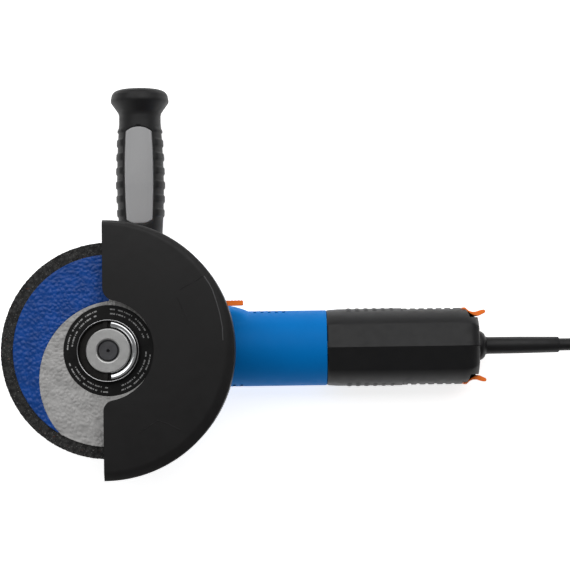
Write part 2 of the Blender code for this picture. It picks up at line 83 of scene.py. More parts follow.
GUARD_X, GUARD_Y = -2.2, 0.3
GUARD_FLOOR_Z = 72.0
GUARD_RIM_Z = 97.5
GUARD_TOP_Z = 102.0
GUARD_EDGE_X = -3.0
GUARD_NOTCH_R = 34.8
SHEET = 1.6
GRIP_X = 18.0
LEAD_R = 4.5
SLEEVE_END = 320.0
LEAD_RUN = 76.0
COIL_X = 438.0
COIL_OUTER_TURN = 66.9
COIL_Y = COIL_OUTER_TURN
PLUG_Z = 17.6

MM_PER_PIXEL = 0.691
IMAGE_WIDTH = 570
CAMERA_ABOVE_DISC = 1200.0
CAMERA_ROLL = math.radians(-0.8)
CAMERA_X = 121.5
FRAME_Y = 43.7

WORLD_LIGHT = 0.2
KEY_WATTS = 32.0
FLOOR_GLOW = 0.7

ALONG_X = (0, math.pi / 2, 0)
ALONG_Y = (-math.pi / 2, 0, 0)
ON_MOTOR = {"at": (0, 0, AXIS_Z), "turn": ALONG_X}
ON_GRIP = {"at": (GRIP_X, 0, AXIS_Z), "turn": ALONG_Y}
ON_FLANK = {"at": (0, 0, AXIS_Z), "turn": (SWITCH_TILT, 0, 0)}


# Camera, floor and light


def make_camera():
    """The camera hangs over the tool's own line, and leans so that the side handle fits in the frame."""
    camera = bpy.data.cameras.new("camera")
    camera.sensor_width = 36.0
    camera.lens = camera.sensor_width * CAMERA_ABOVE_DISC / (MM_PER_PIXEL * IMAGE_WIDTH)
    obj = bpy.data.objects.new("camera", camera)
    bpy.context.scene.collection.objects.link(obj)
    obj.location = (CAMERA_X * MM, 0, (CAMERA_ABOVE_DISC + DISC_TOP) * MM)
    lean = math.atan2(FRAME_Y, CAMERA_ABOVE_DISC)
    obj.rotation_euler = (lean, 0, CAMERA_ROLL)
    bpy.context.scene.camera = obj


def make_light(name, place, target, size, power):
    lamp = bpy.data.lights.new(name, "AREA")
    lamp.shape = "RECTANGLE"
    lamp.size, lamp.size_y = size
    lamp.energy = power
    obj = bpy.data.objects.new(name, lamp)
    bpy.context.scene.collection.objects.link(obj)
    obj.location = place
    aim = [b - a for a, b in zip(place, target)]
    yaw = math.atan2(aim[1], aim[0]) - math.pi / 2
    pitch = math.atan2(math.hypot(aim[0], aim[1]), -aim[2])
    obj.rotation_euler = (pitch, 0, yaw)


def make_stage():
    scene = bpy.context.scene
    scene.view_settings.view_transform = "Standard"
    world = bpy.data.worlds.new("studio")
    world.use_nodes = True
    back = world.node_tree.nodes["Background"]
    back.inputs["Color"].default_value = (1.0, 1.0, 1.0, 1.0)
    back.inputs["Strength"].default_value = WORLD_LIGHT
    scene.world = world
    make_light("key", (0.12, 1.0, 1.3), (0.12, 0.0, 0.0), (3.0, 1.7), KEY_WATTS)
    make_light("fill", (-1.2, -0.9, 0.8), (0.1, 0.0, 0.05), (1.2, 0.8), 3.0)
    mesh = bmesh.new()
    bmesh.ops.create_grid(mesh, x_segments=1, y_segments=1, size=6.0)
    data = bpy.data.meshes.new("floor")
    mesh.to_mesh(data)
    mesh.free()
    floor = bpy.data.objects.new("floor", data)
    scene.collection.objects.link(floor)
    floor.location = (0, 0, -0.0002)
    white = Nodes("floor_white")
    white.shader.inputs["Base Color"].default_value = (0.95, 0.95, 0.95, 1.0)
    white.shader.inputs["Roughness"].default_value = 0.9
    white.shader.inputs["Specular IOR Level"].default_value = 0.1
    white.shader.inputs["Emission Color"].default_value = (1.0, 1.0, 1.0, 1.0)
    white.shader.inputs["Emission Strength"].default_value = FLOOR_GLOW
    data.materials.append(white.material)


# Materials


class Nodes:
    """A material's node tree, with short calls to add to it."""

    def __init__(self, name):
        self.material = bpy.data.materials.new(name)
        self.material.use_nodes = True
        self.tree = self.material.node_tree
        self.shader = self.tree.nodes["Principled BSDF"]
        self.place = self.add("ShaderNodeTexCoord").outputs["Object"]

    def add(self, kind, **settings):
        made = self.tree.nodes.new(kind)
        for key, value in settings.items():
            setattr(made, key, value)
        return made

    def link(self, source, target):
        self.tree.links.new(source, target)

    def noise(self, scale, detail=2.0, rough=0.5):
        made = self.add("ShaderNodeTexNoise")
        made.inputs["Scale"].default_value = scale
        made.inputs["Detail"].default_value = detail
        made.inputs["Roughness"].default_value = rough
        self.link(self.place, made.inputs["Vector"])
        return made.outputs["Fac"]

    def cells(self, scale):
        made = self.add("ShaderNodeTexVoronoi", feature="F1")
        made.inputs["Scale"].default_value = scale
        self.link(self.place, made.inputs["Vector"])
        return made.outputs["Distance"]

    def math(self, operation, a, b=None):
        made = self.add("ShaderNodeMath", operation=operation)
        for socket, value in zip(made.inputs, (a, b)):
            if value is None:
                continue
            if isinstance(value, (int, float)):
                socket.default_value = value
            else:
                self.link(value, socket)
        return made.outputs[0]

    def map(self, value, low, high, to_low, to_high):
        made = self.add("ShaderNodeMapRange")
        self.link(value, made.inputs["Value"])
        for key, number in (("From Min", low), ("From Max", high), ("To Min", to_low), ("To Max", to_high)):
            made.inputs[key].default_value = number
        return made.outputs["Result"]

    def mix(self, factor, one, two):
        made = self.add("ShaderNodeMix", data_type="RGBA")
        for socket, value in ((made.inputs["Factor"], factor), (made.inputs[6], one), (made.inputs[7], two)):
            if isinstance(value, tuple):
                socket.default_value = (*value, 1.0)
            elif isinstance(value, (int, float)):
                socket.default_value = value
            else:
                self.link(value, socket)
        return made.outputs[2]

    def bump(self, height, strength, distance):
        made = self.add("ShaderNodeBump")
        made.inputs["Strength"].default_value = strength
        made.inputs["Distance"].default_value = distance
        self.link(height, made.inputs["Height"])
        self.link(made.outputs["Normal"], self.shader.inputs["Normal"])

    def colour(self, value):
        self.link(value, self.shader.inputs["Base Color"])

    def roughness(self, value):
        self.link(value, self.shader.inputs["Roughness"])


def surface(name, colour, rough, metallic, grain, bump, spread, gloss=0.5):
    """Moulded, cast or brushed stuff: slow colour drift, fine grain and uneven gloss."""
    made = Nodes(name)
    made.shader.inputs["Metallic"].default_value = metallic
    made.shader.inputs["Specular IOR Level"].default_value = gloss
    dark = tuple(c * (1 - spread) for c in colour)
    light = tuple(min(1.0, c * (1 + spread)) for c in colour)
    drift = made.math("ADD", made.noise(45.0, 3.0), made.math("MULTIPLY", made.noise(700.0), 0.3))
    made.colour(made.mix(made.map(drift, 0.35, 0.95, 0.0, 1.0), dark, light))
    made.roughness(made.map(made.noise(160.0, 4.0), 0.3, 0.7, max(0.03, rough - 0.06), rough + 0.07))
    made.bump(made.noise(grain, 3.0, 0.6), bump, 0.0001)
    return made.material


def turned_metal(name, colour, rough, bump=0.3):
    """Lathe-turned steel: fine rings round Z, with a few scuffs."""
    made = Nodes(name)
    made.shader.inputs["Metallic"].default_value = 1.0
    length = made.add("ShaderNodeVectorMath", operation="LENGTH")
    flat = made.add("ShaderNodeMapping")
    flat.inputs["Scale"].default_value = (1.0, 1.0, 0.0)
    made.link(made.place, flat.inputs["Vector"])
    made.link(flat.outputs["Vector"], length.inputs[0])
    rings = made.math("SINE", made.math("MULTIPLY", length.outputs["Value"], 11000.0))
    scuff = made.noise(300.0, 5.0, 0.7)
    made.bump(made.math("ADD", rings, made.math("MULTIPLY", scuff, 2.0)), bump, 0.00002)
    dark = tuple(c * 0.8 for c in colour)
    light = tuple(min(1, c * 1.15) for c in colour)
    made.colour(made.mix(scuff, dark, light))
    made.roughness(made.map(scuff, 0.3, 0.7, rough - 0.05, rough + 0.12))
    return made.material


def grit():
    """Bonded black abrasive: coarse dark grains with a few bright and brown ones."""
    made = Nodes("abrasive_grit")
    grains = made.cells(330.0)
    fine = made.noise(1500.0, 3.0, 0.7)
    base = made.mix(made.map(grains, 0.1, 0.7, 0.0, 1.0), (0.03, 0.03, 0.029), (0.003, 0.003, 0.003))
    sparks = made.map(made.noise(1150.0, 2.0, 0.6), 0.6, 0.7, 0.0, 0.8)
    brown = made.mix(made.map(made.noise(330.0), 0.68, 0.74, 0.0, 0.6), base, (0.12, 0.03, 0.012))
    made.colour(made.mix(sparks, brown, (0.17, 0.165, 0.16)))
    made.shader.inputs["Roughness"].default_value = 0.6
    made.shader.inputs["Specular IOR Level"].default_value = 0.35
    made.bump(made.math("ADD", grains, fine), 1.0, 0.0006)
    return made.material


def foil(name, colour, rough):
    """Printed foil pressed onto the disc's glass mesh, so it is creased all over."""
    made = Nodes(name)
    made.shader.inputs["Specular IOR Level"].default_value = 0.3
    crease = made.noise(900.0, 3.0, 0.6)
    made.bump(crease, 0.35, 0.0003)
    dark = tuple(c * 0.86 for c in colour)
    light = tuple(min(1.0, c * 1.12) for c in colour)
    made.colour(made.mix(made.map(made.noise(120.0, 2.0), 0.35, 0.65, 0.0, 1.0), dark, light))
    made.roughness(made.map(crease, 0.3, 0.7, rough - 0.06, rough + 0.1))
    return made.material


def make_materials():
    metal = {"metallic": 1.0, "grain": 900.0}
    return {
        "cast": surface("cast_black", (0.024, 0.024, 0.026), 0.45, 0.2, 2200.0, 0.5, 0.15, 0.35),
        "blue": surface("moulded_blue", (0.0, 0.16, 0.5), 0.5, 0.0, 2600.0, 0.1, 0.04, 0.06),
        "black": surface("moulded_black", (0.0085, 0.0085, 0.009), 0.42, 0.0, 2400.0, 0.3, 0.1, 0.24),
        "orange": surface("moulded_orange", (1.0, 0.2, 0.02), 0.4, 0.0, 2000.0, 0.12, 0.06, 0.25),
        "paint": surface("powder_coat", (0.0092, 0.0088, 0.009), 0.46, 0.0, 1700.0, 0.3, 0.08, 0.22),
        # The next finish is a painted highlight: a lighter grey for the bright line along the guard's fold.
        "painted_fold_highlight": surface("painted_fold_highlight", (0.06, 0.06, 0.062), 0.4, 0.0, 1700.0, 0.3, 0.08, 0.3),
        "steel": surface("steel", (0.5, 0.5, 0.51), 0.32, bump=0.3, spread=0.1, **metal),
        "dark_steel": surface("dark_steel", (0.09, 0.09, 0.095), 0.36, bump=0.3, spread=0.15, **metal),
        "chrome": surface("polished_steel", (0.72, 0.73, 0.74), 0.13, bump=0.05, spread=0.04, **metal),
        "nut_grey": turned_metal("turned_grey", (0.42, 0.42, 0.415), 0.42),
        # The next finish paints shade: steel coloured near black for the shaded, darkly reflecting clamp ring
        # and spindle tip.
        "nut_painted_shade": turned_metal("turned_painted_shade", (0.026, 0.025, 0.024), 0.38, 0.12),
        "rubber": surface("rubber", (0.008, 0.008, 0.0085), 0.45, 0.0, 1500.0, 0.2, 0.1, 0.25),
        "soft_black": surface("soft_black", (0.0095, 0.0095, 0.01), 0.5, 0.0, 2600.0, 0.45, 0.1, 0.25),
        "soft_grey": surface("soft_grey", (0.34, 0.34, 0.345), 0.55, 0.0, 2600.0, 0.35, 0.04, 0.2),
        "copper": surface("copper", (0.7, 0.3, 0.16), 0.3, bump=0.3, spread=0.15, **metal),
        "brass": surface("brass", (0.75, 0.55, 0.25), 0.3, bump=0.3, spread=0.1, **metal),
        "graphite": surface("graphite", (0.03, 0.03, 0.03), 0.6, 0.0, 1500.0, 0.4, 0.2),
        "green": surface("potting", (0.02, 0.12, 0.06), 0.5, 0.0, 800.0, 0.3, 0.15),
        "label_black": surface("label_black", (0.005, 0.005, 0.005), 0.34, 0.0, 900.0, 0.15, 0.2, 0.2),
        "print": surface("label_print", (0.3, 0.3, 0.3), 0.4, 0.0, 2500.0, 0.1, 0.2),
        "foil_blue": foil("foil_blue", (0.0008, 0.05, 0.26), 0.33),
        "foil_grey": foil("foil_grey", (0.36, 0.355, 0.35), 0.45),
        "grit": grit(),
    }


# Shapes


def piece(name, mesh, finish, body, at=(0, 0, 0), turn=(0, 0, 0), bevel=0.0, replaces=(), sharp=35):
    """An object from a bmesh in millimetres, with its finish, its edge radius and its body."""
    bmesh.ops.remove_doubles(mesh, verts=mesh.verts, dist=0.0005)
    bmesh.ops.recalc_face_normals(mesh, faces=mesh.faces)
    bmesh.ops.scale(mesh, vec=(MM, MM, MM), verts=mesh.verts)
    data = bpy.data.meshes.new(name)
    mesh.to_mesh(data)
    mesh.free()
    data.shade_smooth()
    data.set_sharp_from_angle(angle=math.radians(sharp))
    obj = bpy.data.objects.new(name, data)
    bpy.context.scene.collection.objects.link(obj)
    obj.location = [value * MM for value in at]
    obj.rotation_euler = turn
    if finish:
        data.materials.append(FINISH[finish])
    if bevel:
        soften(obj, bevel)
    if body:
        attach(obj, body)
    if replaces:
        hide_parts(*replaces)
    return obj


def soften(obj, width):
    modifier = obj.modifiers.new("edges", "BEVEL")
    modifier.width = width * MM
    modifier.segments = 2
    modifier.limit_method = "ANGLE"
    modifier.angle_limit = math.radians(40)
    modifier.harden_normals = True


def combine(target, mesh, operation="DIFFERENCE", at=(0, 0, 0), turn=(0, 0, 0)):
    """Cuts or joins at once, before any bevel, so that nothing is left over."""
    tool = piece("tool", mesh, None, None, at, turn)
    modifier = target.modifiers.new("shape", "BOOLEAN")
    modifier.operation = operation
    modifier.object = tool
    bpy.context.view_layer.update()
    graph = bpy.context.evaluated_depsgraph_get()
    data = bpy.data.meshes.new_from_object(target.evaluated_get(graph))
    target.modifiers.remove(modifier)
    target.data = data
    data.shade_smooth()
    data.set_sharp_from_angle(angle=math.radians(35))
    bpy.data.objects.remove(tool, do_unlink=True)


def turned(profile, steps=96, start=0.0, sweep=360.0):
    mesh = bmesh.new()
    whole = sweep >= 360.0
    count = steps if whole else steps + 1
    rings = []
    for i in range(count):
        angle = math.radians(start + sweep * i / steps)
        ring = []
        for k, (radius, height) in enumerate(profile):
            if radius == 0 and rings:
                ring.append(rings[0][k])
                continue
            point = (radius * math.cos(angle), radius * math.sin(angle), height)
            ring.append(mesh.verts.new(point))
        rings.append(ring)
    size = len(profile)
    for i in range(steps):
        one, two = rings[i], rings[(i + 1) % count]
        for k in range(size):
            after = (k + 1) % size
            corners = dict.fromkeys((one[k], one[after], two[after], two[k]))
            if len(corners) > 2:
                mesh.faces.new(list(corners))
    if not whole:
        mesh.faces.new(rings[0])
        mesh.faces.new(rings[-1])
    return mesh


def rod(radius, low, high, steps=48):
    return turned([(0, low), (radius, low), (radius, high), (0, high)], steps)


def tube(inner, outer, low, high, steps=96):
    return turned([(inner, low), (outer, low), (outer, high), (inner, high)], steps)


def block(low, high):
    mesh = bmesh.new()
    bmesh.ops.create_cube(mesh, size=1.0)
    for vert in mesh.verts:
        for k in range(3):
            vert.co[k] = low[k] if vert.co[k] < 0 else high[k]
    return mesh


def prism(outline, low, high):
    mesh = bmesh.new()
    face = mesh.faces.new([mesh.verts.new((x, y, low)) for x, y in outline])
    grown = bmesh.ops.extrude_face_region(mesh, geom=[face])
    risen = [item for item in grown["geom"] if isinstance(item, bmesh.types.BMVert)]
    bmesh.ops.translate(mesh, vec=(0, 0, high - low), verts=risen)
    return mesh


def arc(radius, start, end, steps):
    turns = [math.radians(start + (end - start) * i / steps) for i in range(steps + 1)]
    return [(radius * math.cos(a), radius * math.sin(a)) for a in turns]


def sheet_grid(rows):
    """A surface through rows of points, all of one length."""
    mesh = bmesh.new()
    grid = [[mesh.verts.new(point) for point in row] for row in rows]
    for one, two in zip(grid, grid[1:]):
        for k in range(len(one) - 1):
            mesh.faces.new((one[k], one[k + 1], two[k + 1], two[k]))
    return mesh


def round_curve(name, points, radius, finish, resolution):
    """A round bar along the points, as a curve object."""
    curve = bpy.data.curves.new(name, "CURVE")
    curve.dimensions = "3D"
    curve.bevel_depth = radius * MM
    curve.bevel_resolution = resolution
    curve.use_fill_caps = True
    spline = curve.splines.new("POLY")
    spline.points.add(len(points) - 1)
    for point, place in zip(spline.points, points):
        point.co = (*[value * MM for value in place], 1.0)
    obj = bpy.data.objects.new(name, curve)
    bpy.context.scene.collection.objects.link(obj)
    curve.materials.append(FINISH[finish])
    return obj


def smooth_step(t):
    t = min(max(t, 0.0), 1.0)
    return t * t * (3 - 2 * t)


# The disc, nut and spindle


def crinkle(x, y, size):
    """The pressed pattern of the glass mesh: irregular cells with raised edges, from 0 to 1."""
    near, _ = noise.voronoi(Vector((x / size, y / size, 0.3)))
    return min(1.0, 1.6 * (near[1] - near[0])) * 0.7 + 0.3 * noise.noise(Vector((x, y, 5.0)))


def make_disc():
    rings, around = 60, 480
    steps = [BORE_R + (DISC_R - BORE_R) * i / rings for i in range(rings + 1)]
    profile = [(r, DISC_Z) for r in steps] + [(r, DISC_TOP) for r in reversed(steps)]
    mesh = turned(profile, around)
    for vert in mesh.verts:
        radius = math.hypot(vert.co.x, vert.co.y)
        if radius > GRIT_FROM_R:
            sink = 0.6 * (1 - crinkle(vert.co.x, vert.co.y, GRIT_CELL)) + random.uniform(0, 0.16)
            vert.co.z += -sink if vert.co.z > DISC_Z + 1 else sink
        if radius > DISC_R - 0.5:
            pull = 1 - random.uniform(0.0, 0.3) / DISC_R
            vert.co.x *= pull
            vert.co.y *= pull
    piece("abrasive_wheel", mesh, "grit", "spindle_set", replaces=["cutting_disc"], sharp=60)
    label("label_blue", "foil_blue", False)
    label("label_grey", "foil_grey", True)
    centre = tube(12, CENTRE_LABEL_R, DISC_TOP, CENTRE_LABEL_TOP, 128)
    piece("centre_label", centre, "label_black", "spindle_set", bevel=0.1)
    print_marks()


def label(name, finish, grey):
    """Half of a two-colour foil. Its grey field is a large low circle, and all of the right side."""
    mesh = bmesh.new()
    radial, around = 64, 560
    inner = CENTRE_LABEL_R + 0.05
    grid = []
    for i in range(radial + 1):
        radius = inner + (LABEL_R - inner) * i / radial
        ring = []
        for k in range(around):
            a = 2 * math.pi * k / around
            x, y = radius * math.cos(a), radius * math.sin(a)
            shift = math.hypot(x - GREY_X, y - GREY_Y) - GREY_R
            if abs(shift) < 0.5:
                scale = GREY_R / (GREY_R + shift)
                x, y = GREY_X + (x - GREY_X) * scale, GREY_Y + (y - GREY_Y) * scale
            z = DISC_TOP + FOIL_LIFT + FOIL_RELIEF * crinkle(x, y, FOIL_CELL)
            ring.append(mesh.verts.new((x, y, z)))
        grid.append(ring)
    for i in range(radial):
        for k in range(around):
            after = (k + 1) % around
            face = mesh.faces.new((grid[i][k], grid[i][after], grid[i + 1][after], grid[i + 1][k]))
            middle = face.calc_center_median()
            low_circle = math.hypot(middle.x - GREY_X, middle.y - GREY_Y) < GREY_R
            face.tag = (low_circle or middle.x > 0.4) != grey
    bmesh.ops.delete(mesh, geom=[f for f in mesh.faces if f.tag], context="FACES")
    obj = piece(name, mesh, finish, "spindle_set", sharp=85)
    thick = obj.modifiers.new("thick", "SOLIDIFY")
    thick.thickness = 0.06 * MM
    thick.offset = 1.0


def print_marks():
    """Two rings of plain dashes, where a disc carries its fine print."""
    mesh = bmesh.new()
    gaps = 4
    for radius, count in ((28.6, 96), (25.6, 84)):
        for k in range(count):
            between_words = (k * gaps // count + k) % 7 == 0
            between_lines = k * gaps % count < 18
            if between_words or between_lines:
                continue
            a = 2 * math.pi * k / count
            half = 0.32 / radius * (1 + k % 3)
            low, high = radius - 0.45, radius + 0.45
            corners = ((low, a - half), (low, a + half), (high, a + half), (high, a - half))
            places = [(r * math.cos(t), r * math.sin(t), CENTRE_LABEL_TOP) for r, t in corners]
            mesh.faces.new([mesh.verts.new(place) for place in places])
    grown = bmesh.ops.extrude_face_region(mesh, geom=mesh.faces[:])
    risen = [item for item in grown["geom"] if isinstance(item, bmesh.types.BMVert)]
    bmesh.ops.translate(mesh, vec=(0, 0, 0.04), verts=risen)
    piece("centre_print", mesh, "print", "spindle_set")


def make_nut():
    body = [(15.9, NUT_FOOT), (20.5, NUT_FOOT), (21.6, NUT_FOOT + 1.0), (21.6, 96.4), (21.2, 97.2)]
    body += [(20.7, 97.4), (20.3, 97.1), (20.1, 96.4), (20.1, 92.8), (15.9, 92.8)]
    # The clamp ring is coloured near black: painted shade and dark reflection on its steel.
    nut = piece("clamp_ring", turned(body, 128), "nut_painted_shade", None)
    grooves = bmesh.new()
    for k in range(36):
        angle = 2 * math.pi * k / 36
        groove = rod(0.5, NUT_FOOT - 1, BAIL_Z, 8)
        shift = (21.9 * math.cos(angle), 21.9 * math.sin(angle), 0)
        bmesh.ops.translate(groove, vec=shift, verts=groove.verts)
        add_to(grooves, groove)
    combine(nut, grooves)
    for side in (-1, 1):
        lows, highs = sorted((side * 15.8, side * 20.2))
        combine(nut, block((-3.4, lows, 92.0), (-0.4, highs, 95.6)), "UNION")
    soften(nut, 0.15)
    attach(nut, "spindle_set")
    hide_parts("nut_body")
    rim = [(20.9, 97.2), (21.25, 97.2), (21.25, 97.45), (21.08, 97.55), (20.9, 97.45)]
    piece("clamp_ring_edge", turned(rim, 128), "steel", "spindle_set")
    core = [(7.3, NUT_FOOT), (15.4, NUT_FOOT), (15.4, 96.0), (15.1, 96.5), (14.6, 96.8), (8.6, 96.8)]
    core += [(7.9, 96.5), (7.3, 95.8)]
    piece("thread_core", turned(core, 128), "nut_grey", "spindle_set", replaces=["nut_core"], sharp=18)
    # The spindle tip sits down in the nut's bore and takes the same near-black painted shade.
    tip = [(0, 79), (6.9, 79), (6.9, 95.2), (6.6, 95.8), (6.1, 96.2), (1.6, 96.2), (0.9, 95.4), (0, 93.2)]
    piece("spindle_tip", turned(tip, 96), "nut_painted_shade", "spindle_set", sharp=18)
    section = []
    for t in range(20):
        a = t * math.pi / 10
        flat = math.copysign(abs(math.sin(a)) ** 0.6, math.sin(a))
        section.append((18.15 + 1.9 * math.cos(a), 1.6 * flat + 0.35 * math.cos(a)))
    loop = turned(section, 80, -84, 168)
    piece("bail_loop", loop, "chrome", "bail", (0, 0, BAIL_Z), bevel=0.5, replaces=["nut_bail"], sharp=60)


def add_to(mesh, part):
    data = bpy.data.meshes.new("part")
    part.to_mesh(data)
    part.free()
    mesh.from_mesh(data)


# The guard


def guard_edge(radius):
    return math.degrees(math.acos((GUARD_EDGE_X - GUARD_X) / radius))


def offset_arc(centre, radius, start, end, steps):
    return [(centre[0] + x, centre[1] + y) for x, y in arc(radius, start, end, steps)]


def notch_outline():
    """What the cover leaves open: all left of its edge, and a round notch with rounded corners."""
    edge, lift, radius = GUARD_EDGE_X, GUARD_Y, GUARD_NOTCH_R
    corners = []
    for side, corner_r in ((-1, 7.5), (1, 9.0)):
        rise = math.sqrt((radius + corner_r) ** 2 - corner_r**2)
        meet = math.degrees(math.atan2(rise, corner_r))
        corners.append(((edge + corner_r, lift + side * rise), corner_r, meet))
    (low, low_r, low_meet), (high, high_r, high_meet) = corners
    outline = [(-100, -100), (edge, -100)]
    outline += offset_arc(low, low_r, 180, 180 - low_meet, 16)
    outline += offset_arc((edge, lift), radius, -low_meet, high_meet, 64)[1:-1]
    outline += offset_arc(high, high_r, 180 + high_meet, 180, 16)
    return outline + [(edge, 100), (-100, 100)]


def make_guard():
    on_guard = (GUARD_X, GUARD_Y, 0)
    edge = guard_edge(GUARD_R - 0.7)
    floor = offset_arc(on_guard, GUARD_R - 0.7, -edge, edge, 96)
    inner = math.degrees(math.acos(GUARD_EDGE_X / 28))
    floor += arc(28, inner, -inner, 40)
    pan = piece("guard_pan", prism(floor, GUARD_FLOOR_Z, GUARD_FLOOR_Z + SHEET), "paint", None)
    combine(pan, tube(24.6, 29, GUARD_FLOOR_Z, GUARD_FLOOR_Z + SHEET), "UNION")
    soften(pan, 0.3)
    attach(pan, "guard")
    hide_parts("guard_shell")
    band = [(GUARD_R - SHEET, GUARD_FLOOR_Z + 0.3), (GUARD_R - 0.9, GUARD_FLOOR_Z)]
    band += [(GUARD_R, GUARD_FLOOR_Z + 0.9), (GUARD_R, GUARD_RIM_Z), (GUARD_R - SHEET, GUARD_RIM_Z)]
    edge = guard_edge(GUARD_R)
    piece("guard_band", turned(band, 128, -edge, 2 * edge), "paint", "guard", on_guard, bevel=0.25)
    foot = GUARD_RIM_Z + GAP
    top = GUARD_TOP_Z
    fold = GUARD_R - 4.4
    rise = [(GUARD_R, foot), (GUARD_R, 98.6), (GUARD_R - 0.5, 99.4), (fold + 1.1, top - 0.55)]
    rise += [(fold, top - 0.12), (fold - 1.2, top), (28, top), (28, top - SHEET)]
    rise += [(fold - 1, top - SHEET), (GUARD_R - 2.4, 99.2), (GUARD_R - 1, foot)]
    mesh = turned(rise, 160, -95, 190)
    # The fold is off centre: it lies further in at the right, and further out at the top.
    for vert in mesh.verts:
        radius = math.hypot(vert.co.x, vert.co.y)
        if fold - 1.5 < radius < fold + 1.5:
            turn = math.atan2(vert.co.y, vert.co.x)
            shift = -1.8 * math.cos(turn) + 1.6 * math.sin(turn) + 0.2
            vert.co.x *= 1 + shift / radius
            vert.co.y *= 1 + shift / radius
    face = piece("guard_face", mesh, "paint", None, on_guard)
    combine(face, prism(notch_outline(), 90, 110))
    soften(face, 0.3)
    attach(face, "guard")
    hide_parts("guard_cover")
    bead("guard_bead_low", [(21, -56.5), (28, -52), (34, -48), (41, -50.5), (50, -55)])
    bead("guard_bead_high", [(50, 41), (54, 43.5), (58, 45.5)])
    bead("guard_bead_tip", [(60, 46.5), (67, 50.7)])
    bead("guard_bead_side", [(48, 35.5), (51.5, 28), (55.2, 18.6)])
    # The lighter line along the fold's upper right is a painted highlight, where the fold's edge catches the
    # light.
    fold_highlight = [(66.5, 50.5), (70.2, 44.8), (72.4, 40.6), (75.3, 31.5), (77.2, 24.5), (78.9, 15), (79.2, 6)]
    bead("guard_bead_fold", fold_highlight, "painted_fold_highlight")


def bead(name, points, finish="paint"):
    """A shallow line along the guard's face, pressed into it, or lighter along the fold as a painted
    highlight.
    """
    line = [(x, y, GUARD_TOP_Z - 0.16) for x, y in points]
    obj = round_curve(name, line, 0.38, finish, 3)
    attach(obj, "guard")


# The gear head


def make_head():
    head = [(0, 0), (30, 0), (31.2, 0.3), (32.4, 1.3), (HEAD_R, 3), (HEAD_R, HEAD_TOP - 0.6)]
    head += [(HEAD_R - 0.6, HEAD_TOP), (0, HEAD_TOP)]
    case = piece("head_casting", turned(head, 96), "cast", None)
    combine(case, rod(BODY_R - 0.15, 2, CASE_END, 96), "UNION", **ON_MOTOR)
    boss = [(0, -38), (11.8, -38), (13, -37), (13, 37), (11.8, 38), (0, 38)]
    combine(case, turned(boss, 64), "UNION", **ON_GRIP)
    combine(case, block((24, 12, 43), (LUG_X + 6, LUG_Y + 5, 57.7)), "UNION")
    combine(case, rod(5.2, -40, -24, 40), **ON_GRIP)
    combine(case, rod(5.2, 24, 40, 40), **ON_GRIP)
    combine(case, rod(6.3, -2, 8, 40), at=LOCK_AT)
    combine(case, rod(26, 6.4, HEAD_TOP + 5, 64))
    combine(case, rod(13.4, 5, CASE_END + 5, 48), **ON_MOTOR)
    for k in range(5):
        y = -14 + 7 * k
        combine(case, block((-HEAD_R - 2, y - 0.8, 12), (-HEAD_R + 2.0, y + 0.8, 50)))
    soften(case, 0.5)
    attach(case, "housing")
    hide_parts("gear_case")
    cover = [(16.3, HEAD_TOP + GAP), (HEAD_R - 0.4, HEAD_TOP + GAP), (HEAD_R, HEAD_TOP + 0.8)]
    cover += [(HEAD_R, COVER_TOP - 0.8), (HEAD_R - 0.8, COVER_TOP), (COLLAR_R, COVER_TOP)]
    cover += [(COLLAR_R, COLLAR_TOP - 0.6), (COLLAR_R - 0.6, COLLAR_TOP), (9.5, COLLAR_TOP)]
    cover += [(9.5, 71.5), (16.3, 71.5)]
    piece("head_cover", turned(cover, 96), "steel", "housing", replaces=["bearing_cover"])
    button = [(0, 0.4), (3.6, 0.4), (4.0, 0.8), (4.8, 0.8), (5.2, 0.4), (5.5, 0.5), (6.0, 1.2)]
    button += [(6.0, 8.2), (0, 8.2)]
    piece("lock_knob", turned(button, 48), "black", "spindle_lock", at=LOCK_AT, replaces=["lock_button"])


def make_lever():
    lever = piece("lever_blade", tube(2.3, 5.5, 58.1, 70, 48), "orange", None, at=(LUG_X, LUG_Y, 0))
    arm = [(3, 1), (3, 4.5), (12, 5.9), (20, 6.4), (40, 7.0), (58.8, 7.3), (59.4, 6.7), (59.4, 4.2)]
    arm += [(58.8, 3.6), (40, 3.3), (20, 2.8), (6, -1)]
    combine(lever, prism(arm, 58.1, 67), "UNION", at=(LUG_X, LUG_Y, 0))
    turn = (0, 0, math.atan2(-LUG_Y, -LUG_X))
    combine(lever, block((3.5, -2, 66.4), (17.4, 2, 70)), "UNION", at=(LUG_X, LUG_Y, 0), turn=turn)
    for k in range(4):
        x = LUG_X + 50 + 2.4 * k
        combine(lever, block((x, LUG_Y + 7.0, 58), (x + 0.9, LUG_Y + 8.5, 68)))
    soften(lever, 0.45)
    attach(lever, "guard_lever")
    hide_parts("guard_lever")


# The motor body


HUMP = 4.6


def hump_rise(x):
    """How far the housing swells beside the gear case, where the guard's lever rests."""
    if x < 62:
        return HUMP * smooth_step((x - 57) / 5)
    return HUMP * max(0.0, 1 - max(0.0, (x - 75) / 20.2) ** 2)


